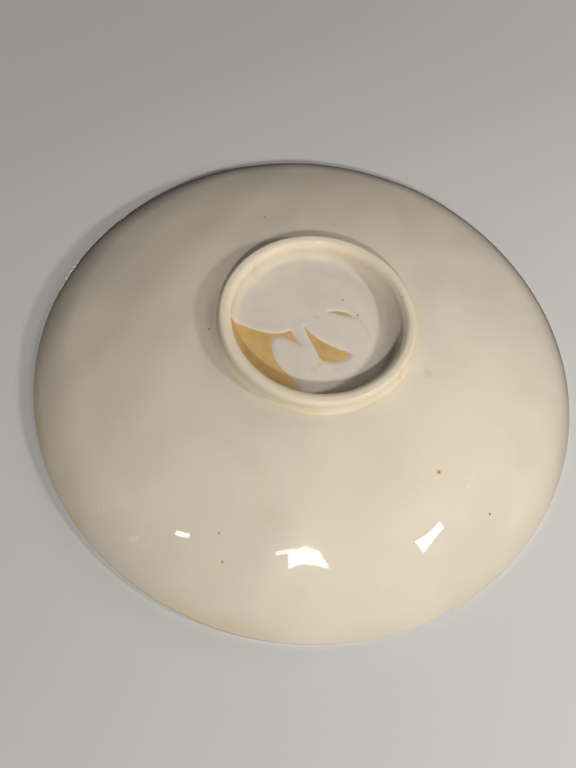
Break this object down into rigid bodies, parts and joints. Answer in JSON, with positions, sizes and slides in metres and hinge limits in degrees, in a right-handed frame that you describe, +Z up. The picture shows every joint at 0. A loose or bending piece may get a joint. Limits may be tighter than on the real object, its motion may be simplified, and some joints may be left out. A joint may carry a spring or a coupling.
{
  "type": "porcelain serving bowl",
  "caption": "Shallow round porcelain serving bowl on a foot ring, glazed cream, with bare clay places in the recess under it.",
  "frame": {"origin": "centre of the foot's standing plane", "axes": "+Z up through the middle of the mouth; +X and +Y in the standing plane, with the larger bare place in the recess towards +X and -Y"},
  "size_m": [0.3, 0.3, 0.048],
  "materials": {
    "porcelain_clay": "fired, unglazed, fine dry grain, ochre where bare",
    "slip": "fired slip, wiped smooth",
    "cream_glaze": "glossy creamy ivory glaze with faint stains and specks",
    "recess_glaze": "glossy greyish white glaze, crawled back in places"
  },
  "bodies": {
    "root": {"bowl_body": "porcelain_clay", "foot_ring": "porcelain_clay", "luting_slip": "slip", "outer_glaze": "cream_glaze", "inner_glaze": "cream_glaze", "foot_glaze": "cream_glaze", "recess_glaze": "recess_glaze"}
  },
  "joints": []
}
